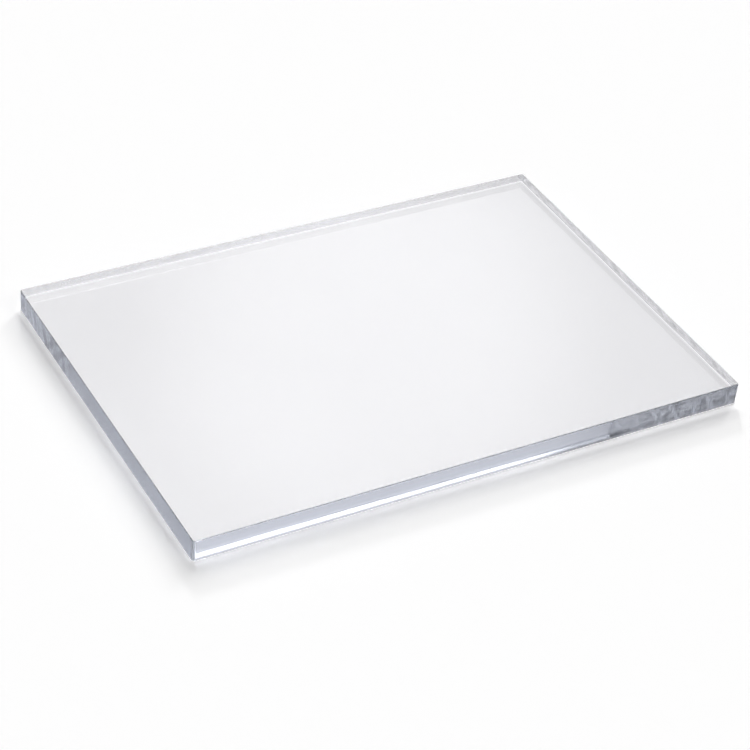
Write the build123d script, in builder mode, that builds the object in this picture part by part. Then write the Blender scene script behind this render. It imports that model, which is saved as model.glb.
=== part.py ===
from build123d import *
import os

# A clear polycarbonate sheet: one flat panel of solid stock, cut to size.
# It is one extruded piece. Its two broad faces are as they left the rollers. Its four edges
# were sawn and polished, and its upright corners and arrises are eased for safe handling.
# Frame, in millimetres: X along the long side, Y along the short side, Z up through the
# thickness. The origin is the centre of the underside, which lies on the surface below.

# The panel
sheet_length = 300.0
sheet_width = 210.0
sheet_thickness = 12.0

# Its eased edges
corner_radius = 1.5  # each upright corner, seen from above
arris_bevel = 0.3  # the 45 degree flat round both broad faces

with BuildPart() as sheet:
    with BuildSketch(Plane.XY):
        RectangleRounded(sheet_length, sheet_width, corner_radius)
    extrude(amount=sheet_thickness)
    underside = sheet.faces().sort_by(Axis.Z)[0]
    top_face = sheet.faces().sort_by(Axis.Z)[-1]
    chamfer(underside.edges() + top_face.edges(), arris_bevel)

sheet.part.label = "sheet"

os.makedirs("parts", exist_ok=True)
export_step(sheet.part, "parts/sheet.step")
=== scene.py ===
import math

import bpy
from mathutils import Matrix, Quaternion, Vector


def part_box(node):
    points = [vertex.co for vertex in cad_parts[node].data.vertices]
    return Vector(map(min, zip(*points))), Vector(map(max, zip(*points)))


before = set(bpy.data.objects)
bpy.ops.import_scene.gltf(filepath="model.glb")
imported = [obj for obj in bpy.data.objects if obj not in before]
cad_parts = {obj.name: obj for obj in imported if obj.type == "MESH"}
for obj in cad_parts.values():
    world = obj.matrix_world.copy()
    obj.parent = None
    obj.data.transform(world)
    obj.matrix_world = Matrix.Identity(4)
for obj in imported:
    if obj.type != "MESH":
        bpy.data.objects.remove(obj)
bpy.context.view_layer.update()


# The sheet
# One slab of solid clear polycarbonate, sawn from a larger extruded sheet. Its broad faces keep
# the gloss of the rollers and its front edge is polished. Its other edges keep a satin finish
# from the saw, and all its rims are bevelled.

refractive_index = 1.585
depth_tint = (0.38, 0.48, 0.70, 1.0)
depth_density = 1.8
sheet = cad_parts["sheet"]
low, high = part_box("sheet")
middle = (Vector(low) + Vector(high)) / 2
reach = (Vector(high) - Vector(low)) / 2


def add(tree, kind, *inputs, **settings):
    """A node of that kind, with its settings made and its inputs set or linked in order."""
    made = tree.nodes.new(kind)
    for name, value in settings.items():
        setattr(made, name, value)
    for socket, value in zip(made.inputs, inputs):
        if isinstance(value, bpy.types.NodeSocket):
            tree.links.new(value, socket)
        elif value is not None:
            socket.default_value = value
    return made


def together(tree, operation, *values):
    """Takes numbers together two at a time, each a value or a socket, and gives the last socket."""
    total = values[0]
    for value in values[1:]:
        total = add(tree, "ShaderNodeMath", total, value, operation=operation).outputs[0]
    return total


def sum_of(tree, *values):
    """The sum of numbers, each a value or a socket."""
    return together(tree, "ADD", *values)


def times(tree, *values):
    """The product of numbers, each a value or a socket."""
    return together(tree, "MULTIPLY", *values)


def largest(tree, *values):
    """The largest of some numbers, each a value or a socket."""
    return together(tree, "MAXIMUM", *values)


def over(tree, value, limit):
    """1 where the value is above the limit, and 0 elsewhere."""
    return add(tree, "ShaderNodeMath", value, limit, operation="GREATER_THAN").outputs[0]


def unless(tree, value):
    """1 less the value, so that a mask is turned round."""
    return add(tree, "ShaderNodeMath", 1.0, value, operation="SUBTRACT").outputs[0]


def ramp(tree, value, start, end, at_start, at_end, shape="LINEAR"):
    """A value that goes from at_start to at_end while the first goes from start to end."""
    return add(tree, "ShaderNodeMapRange", value, start, end, at_start, at_end,
               interpolation_type=shape).outputs[0]


def ease(tree, value, start, end, at_start, at_end):
    """A ramp that starts and ends gently."""
    return ramp(tree, value, start, end, at_start, at_end, "SMOOTHSTEP")


def spread(tree, point):
    """The three distances of a point from the middle of its own axes."""
    absolute = add(tree, "ShaderNodeVectorMath", point, operation="ABSOLUTE").outputs[0]
    return add(tree, "ShaderNodeSeparateXYZ", absolute).outputs


def noise(tree, point, stretch, detail=2.0):
    """Cloudy noise, drawn out where a number of the stretch is small."""
    unused = None
    scale = 1.0
    stretched = add(tree, "ShaderNodeVectorMath", point, stretch, operation="MULTIPLY").outputs[0]
    return add(tree, "ShaderNodeTexNoise", stretched, unused, scale, detail).outputs[0]


def to_nearest(tree, place, start, pitch):
    """The distance to the nearest of a row of marks, as a share of their pitch."""
    halfway = 0.5
    pitches = times(tree, sum_of(tree, place, -start), 1 / pitch)
    return add(tree, "ShaderNodeMath", pitches, halfway, operation="PINGPONG").outputs[0]


def blend(tree, share, first, second):
    """A colour that goes from the first to the second while the share goes from 0 to 1."""
    not_for_colours = [None] * 5
    return add(tree, "ShaderNodeMix", share, *not_for_colours, first, second,
               data_type="RGBA").outputs[2]


clear = bpy.data.materials.new("clear_polycarbonate")
clear.use_nodes = True
tree = clear.node_tree
surface = tree.nodes["Principled BSDF"]
surface.inputs["IOR"].default_value = refractive_index
surface.inputs["Transmission Weight"].default_value = 1.0
depth_of_colour = add(tree, "ShaderNodeVolumeAbsorption", depth_tint, depth_density)
tree.links.new(depth_of_colour.outputs[0], tree.nodes["Material Output"].inputs["Volume"])

# Which side of the slab a point lies on, from its distance to the middle
skin = 0.00005  # how near to a face a point counts as on it
bevel = 0.0003  # the width of the bevel on every rim
place = add(tree, "ShaderNodeTexCoord").outputs["Object"]
along_x, along_y, up = add(tree, "ShaderNodeSeparateXYZ", place).outputs
from_middle = add(tree, "ShaderNodeVectorMath", place, tuple(middle), operation="SUBTRACT").outputs[0]
out_x, out_y, out_z = spread(tree, from_middle)
on_short_edge = over(tree, out_x, reach.x - skin)
on_long_edge = over(tree, out_y, reach.y - skin)
on_front_edge = over(tree, times(tree, along_y, -1.0), reach.y - middle.y - skin)
on_back_edge = over(tree, along_y, reach.y + middle.y - skin)
on_broad_face = over(tree, out_z, reach.z - skin)
beyond_bevel = over(tree, out_z, reach.z - bevel)
on_rim = unless(tree, sum_of(tree, on_short_edge, on_long_edge, on_broad_face))
on_corner = times(tree, on_rim, unless(tree, beyond_bevel))
on_short_bevel = times(tree, on_rim, beyond_bevel, over(tree, out_x, reach.x - bevel))
on_right = over(tree, along_x, middle.x)
on_left_edge = times(tree, on_short_edge, unless(tree, on_right))
on_right_edge = times(tree, on_short_edge, on_right)

# The finish: gloss on the broad faces, polish on the front edge, satin on the others, a matt rim
bevel_roughness = 0.5
short_bevel_roughness = 0.12
corner_roughness = 0.8
short_edge_roughness = 0.25
back_edge_roughness = 0.27
front_edge_roughness = 0.02
right_end_roughness = 0.075
right_end_dulls = (low[0] + 0.190, low[0] + 0.225)
front_finish = ramp(tree, along_x, *right_end_dulls, front_edge_roughness, right_end_roughness)
finish = sum_of(tree, times(tree, on_rim, bevel_roughness),
                times(tree, on_short_bevel, short_bevel_roughness - bevel_roughness),
                times(tree, on_corner, corner_roughness - bevel_roughness),
                times(tree, on_short_edge, short_edge_roughness),
                times(tree, on_back_edge, back_edge_roughness),
                times(tree, on_front_edge, front_finish))
tree.links.new(finish, surface.inputs["Roughness"])

# The haze on the left edge, in faint streaks and darker towards the front corner, with slanted bars of
# painted shade
streak_stretch = (20.0, 20.0, 420.0)
streak_limits = (0.38, 0.62)
left_streak = 0.1
bar_pitch = 0.0105
bar_slant = 1.1
bar_start = 0.0489
bar_width = (0.1, 0.36)
bar_shade = 0.62
bars_begin = (0.040, 0.056)
bars_end = (0.072, 0.080)
darker_end = (low[1] + 0.025, low[1] + 0.075)
darker_end_tint = 0.60
streaked = ramp(tree, noise(tree, place, streak_stretch), *streak_limits, 0.0, 1.0)
bar_place = sum_of(tree, along_y, times(tree, up, bar_slant))
to_bar = to_nearest(tree, bar_place, bar_start, bar_pitch)
# painted shade: dark bars that stand in for the rims of the sheet mirrored inside the slab
painted_bars = times(tree, ramp(tree, to_bar, *bar_width, bar_shade, 0.0),
               ramp(tree, bar_place, *bars_begin, 0.0, 1.0),
               ramp(tree, bar_place, *bars_end, 1.0, 0.0))
# the left edge grows darker towards its front corner
darker_to_front = ramp(tree, along_y, *darker_end, darker_end_tint, 0.0)
left_haze_and_painted_bars = sum_of(tree, times(tree, streaked, left_streak), painted_bars, darker_to_front)

# Painted shade at the right end of the front edge: blotches and a dark foot for the right edge mirrored in
# the slab, with painted glints between
blotch_stretch = (190.0, 190.0, 330.0)
blotch_detail = 3.0
blotch_limits = (0.42, 0.60)
blotch_shade = 0.75
blotches_grow = (low[0] + 0.200, low[0] + 0.262)
foot_shade = 0.62
foot_shade_top = 0.005
foot_shade_grows = (low[0] + 0.208, low[0] + 0.245)
glint_pitch = 0.01075
glint_slant = 0.62
glint_start = 0.147
glint_width = (0.07, 0.15)
blotches = noise(tree, place, blotch_stretch, blotch_detail)
# painted shade: blotches and a dark foot that stand in for the right edge seen mirrored inside the slab
painted_blotch_shade = times(tree, ramp(tree, blotches, *blotch_limits, 0.0, blotch_shade),
                 ease(tree, along_x, *blotches_grow, 0.0, 1.0))
painted_foot_shade = times(tree, ramp(tree, up, 0.0, foot_shade_top, foot_shade, 0.0),
                  ease(tree, along_x, *foot_shade_grows, 0.0, 1.0))
glint_place = sum_of(tree, along_x, times(tree, up, glint_slant))
to_glint = to_nearest(tree, glint_place, glint_start, glint_pitch)
between_glints = ramp(tree, to_glint, *glint_width, 0.0, 1.0)
# the painted shade of the right end, broken by painted glints that stand in for the mirrored rims
right_end_painted_shade = times(tree, largest(tree, painted_blotch_shade, painted_foot_shade), between_glints)

# Painted shade that fades the bright band low on the front edge before it reaches that end
band_shade = 0.8
band_fades = (low[0] + 0.170, low[0] + 0.208)
band_ends = (low[0] + 0.228, low[0] + 0.238)
band_top = (0.0035, 0.0055)
painted_band_shade = times(tree, ease(tree, along_x, *band_fades, 0.0, band_shade),
                  ramp(tree, along_x, *band_ends, 1.0, 0.0),
                  ramp(tree, up, *band_top, 1.0, 0.0))
# all the painted shade on the front edge
front_painted_shade = largest(tree, right_end_painted_shade, painted_band_shade)

# All the haze and painted shade together, with the haze of the right edge, the corners and the end of the
# back edge
right_streak = 0.2
corner_haze = 0.22
back_end = (high[0] - 0.038, high[0])
back_haze = 0.4
clearest = (1.0, 1.0, 1.0, 1.0)
darkest_haze_and_shade = (0.06, 0.065, 0.075, 1.0)
haze_and_painted_shade = sum_of(tree, times(tree, left_haze_and_painted_bars, on_left_edge),
              times(tree, streaked, right_streak, on_right_edge),
              times(tree, front_painted_shade, on_front_edge),
              times(tree, on_corner, corner_haze),
              times(tree, ramp(tree, along_x, *back_end, 0.0, back_haze), on_back_edge))
# the haze and the painted shade both darken the colour of the plastic
tree.links.new(blend(tree, haze_and_painted_shade, clearest, darkest_haze_and_shade), surface.inputs["Base Color"])

# The front edge leans a little out of square, and both long edges have a scraped foot
lean_left = math.tan(math.radians(0.35))
lean_right = math.tan(math.radians(3.3))
foot_height = 0.0017
foot_slope = math.tan(math.radians(4.8))
lean = ramp(tree, along_x, low[0], high[0], -lean_left, -lean_right)
out_of_square = times(tree, lean, up, on_front_edge)
foot = ramp(tree, up, 0.0, foot_height, -foot_height * foot_slope, 0.0)
scraped = times(tree, foot, on_long_edge)

# Fine saw lines along the edges, and chatter across the short ones, calmer at the left front
line_stretch = (25.0, 25.0, 900.0)
long_line_depth = 3e-6
short_line_depth = 3e-5
chatter_stretch = (160.0, 160.0, 80.0)
chatter_depth = 1e-3
calm_share = 0.12
calm_end = (0.03, 0.065)
saw_lines = noise(tree, place, line_stretch)
chatter = noise(tree, place, chatter_stretch)
chattered = largest(tree, on_right, ramp(tree, along_y, *calm_end, calm_share, 1.0))
height = sum_of(tree, out_of_square, scraped,
                times(tree, saw_lines, long_line_depth, on_long_edge),
                times(tree, saw_lines, short_line_depth, on_short_edge),
                times(tree, chatter, chattered, chatter_depth, on_short_edge))

bump_strength = 1.0
bump_scale = 1.0
bump = add(tree, "ShaderNodeBump", bump_strength, bump_scale)
tree.links.new(height, bump.inputs["Height"])
tree.links.new(bump.outputs[0], surface.inputs["Normal"])

sheet.data.materials.clear()
sheet.data.materials.append(clear)


# The table
# A wide matt white table top without a visible end, which the sheet lies flat on. The glow in
# its paint keeps it white in the picture and in the clear plastic, as in a white studio, and
# paints a thin line of light round the foot of the sheet, in place of light a bevelled rim throws.

table_reach = 60.0
table_gap = 0.0001
white_paint = 0.9
picture_lift = (0.266, 0.262, 0.258, 1.0)  # a glow that only the camera sees
glow_colour = (1.0, 0.993, 1.018, 1.0)
plastic_share = 0.8  # how much of the paint looks like an even glow through the plastic
plastic_level = 0.775  # how bright that glow is

bpy.ops.mesh.primitive_plane_add(size=2 * table_reach, location=(0, 0, -table_gap))
table = bpy.context.object
table.name = "table"
white = bpy.data.materials.new("white_table")
white.use_nodes = True
tree = white.node_tree
tree.nodes.remove(tree.nodes["Principled BSDF"])
seen = add(tree, "ShaderNodeLightPath").outputs
by_plastic = largest(tree, seen["Is Glossy Ray"], seen["Is Transmission Ray"])
evened = times(tree, by_plastic, plastic_share)

# The painted line of light round the foot of the sheet, as it shows in the plastic and in the picture
line_light = 0.28
line_inside = 0.002
line_outside_x = 0.0017
line_outside_y = 0.0024
line_fades = (0.2, 1.0)  # in shares of the two widths outside
left_line = 0.2
left_rise = (-0.0003, 0.0)
left_fall = (0.0004, 0.0034)
front_line = 0.12
front_rise = (-0.0002, 0.0010)
front_fall = (0.0022, 0.0056)
front_line_grows = (-0.08, 0.05)
front_line_growth = 2.1
line_end = (-0.001, 0.002)
spot = add(tree, "ShaderNodeTexCoord").outputs["Object"]
along_table = add(tree, "ShaderNodeSeparateXYZ", spot).outputs[0]
across_x, across_y = spread(tree, spot)[:2]
past_x = sum_of(tree, across_x, -reach.x)
past_y = sum_of(tree, across_y, -reach.y)
past = largest(tree, past_x, past_y)
share_out = largest(tree, times(tree, past_x, 1 / line_outside_x),
                    times(tree, past_y, 1 / line_outside_y))
line_in_plastic = times(tree, ease(tree, past, -line_inside, 0.0, 0.0, line_light),
                        ease(tree, share_out, *line_fades, 1.0, 0.0))
line_at_left = times(tree, ease(tree, past_x, *left_rise, 0.0, left_line),
                     ease(tree, past_x, *left_fall, 1.0, 0.0),
                     ramp(tree, past_y, *line_end, 1.0, 0.0))
line_at_front = times(tree, ease(tree, past_y, *front_rise, 0.0, front_line),
                      ease(tree, past_y, *front_fall, 1.0, 0.0),
                      ramp(tree, past_x, *line_end, 1.0, 0.0),
                      ramp(tree, along_table, *front_line_grows, 1.0, front_line_growth))
line_in_picture = largest(tree, line_at_left, line_at_front)

paint = add(tree, "ShaderNodeBsdfDiffuse", ramp(tree, evened, 0.0, 1.0, white_paint, 0.0))
lift = add(tree, "ShaderNodeEmission", picture_lift, seen["Is Camera Ray"])
glow_level = sum_of(tree, times(tree, evened, plastic_level),
                    times(tree, by_plastic, line_in_plastic),
                    times(tree, seen["Is Camera Ray"], line_in_picture))
glow = add(tree, "ShaderNodeEmission", glow_colour, glow_level)
both_glows = add(tree, "ShaderNodeAddShader", lift.outputs[0], glow.outputs[0])
lit_paint = add(tree, "ShaderNodeAddShader", paint.outputs[0], both_glows.outputs[0])
tree.links.new(lit_paint.outputs[0], tree.nodes["Material Output"].inputs["Surface"])
table.data.materials.append(white)


# The light
# A white studio round the table: an even pale room with soft round lights, all of them white.
# Those from the back round to the right throw one soft shadow at the front and the left. The
# others are there for the light that the top and the edges of the sheet mirror.

room = (0.14, 0.142, 0.147)
white_light = (1.0, 1.0, 1.0)
white_backdrop = (1.0, 1.0, 1.0, 1.0)
world = bpy.data.worlds.new("studio")
bpy.context.scene.world = world
world.use_nodes = True
tree = world.node_tree
background = tree.nodes["Background"]
direction = add(tree, "ShaderNodeTexCoord").outputs["Generated"]


def soft_light(under, heading, height, inner, outer, strength):
    """Adds a round light to the room, at a heading from +Y towards +X, with its angles in degrees."""
    turn = math.radians(heading)
    rise = math.radians(height)
    towards = Vector((math.sin(turn) * math.cos(rise), math.cos(turn) * math.cos(rise), math.sin(rise)))
    facing = add(tree, "ShaderNodeVectorMath", direction, towards, operation="DOT_PRODUCT").outputs["Value"]
    rim = math.cos(math.radians(outer))
    core = math.cos(math.radians(inner))
    share = ease(tree, facing, rim, core, 0.0, strength)
    light = add(tree, "ShaderNodeVectorMath", white_light, operation="SCALE")
    tree.links.new(share, light.inputs["Scale"])
    return add(tree, "ShaderNodeVectorMath", under, light.outputs[0], operation="ADD").outputs[0]


# A weak group at the back right, which the top mirrors
lit = soft_light(room, heading=30, height=38.5, inner=4, outer=18, strength=1.1)
lit = soft_light(lit, heading=31.4, height=36.2, inner=1, outer=6.5, strength=0.72)
lit = soft_light(lit, heading=26, height=42, inner=1, outer=6, strength=0.25)

# The lights from the back round to the right, which throw the shadow
lit = soft_light(lit, heading=8, height=46, inner=4, outer=10, strength=6.8)
lit = soft_light(lit, heading=23, height=27, inner=2, outer=5, strength=60)
lit = soft_light(lit, heading=52, height=28, inner=3, outer=7, strength=16)
lit = soft_light(lit, heading=57, height=38, inner=4, outer=9, strength=8.6)
lit = soft_light(lit, heading=40, height=57, inner=6, outer=12, strength=4)
lit = soft_light(lit, heading=37, height=66, inner=6, outer=14, strength=3.2)

# A faint one at the back left, and one at the front right that fills the left edge
lit = soft_light(lit, heading=-41, height=37, inner=8, outer=20, strength=0.13)
lit = soft_light(lit, heading=157, height=38, inner=5, outer=13, strength=4.4)

by_camera = add(tree, "ShaderNodeLightPath").outputs["Is Camera Ray"]
tree.links.new(blend(tree, by_camera, lit, white_backdrop), background.inputs["Color"])
light_map_width = 1024
world.cycles.sampling_method = "MANUAL"
world.cycles.sample_map_resolution = light_map_width

turns_inside = 32
cycles = bpy.context.scene.cycles
cycles.max_bounces = cycles.glossy_bounces = cycles.transmission_bounces = turns_inside
cycles.blur_glossy = 0.0


# The camera
# It looks down on the front left corner of the sheet through a long lens, and is turned a
# little anticlockwise.

camera_place = Vector((-0.4908, -0.7970, 0.6939))
camera_aim = Vector((-0.01624, -0.02798, 0.0121))
camera_roll = 5.52
sensor_width = 36.0
focal_length = 110.35
farthest = 200.0
camera = bpy.data.objects.new("camera", bpy.data.cameras.new("camera"))
bpy.context.scene.collection.objects.link(camera)
camera.location = camera_place
camera.rotation_mode = "QUATERNION"
level = (camera_aim - camera_place).to_track_quat("-Z", "Y")
camera.rotation_quaternion = level @ Quaternion((0, 0, 1), math.radians(camera_roll))
camera.data.sensor_width = sensor_width
camera.data.lens = focal_length
camera.data.clip_end = farthest
bpy.context.scene.camera = camera
bpy.context.scene.view_settings.view_transform = "Standard"
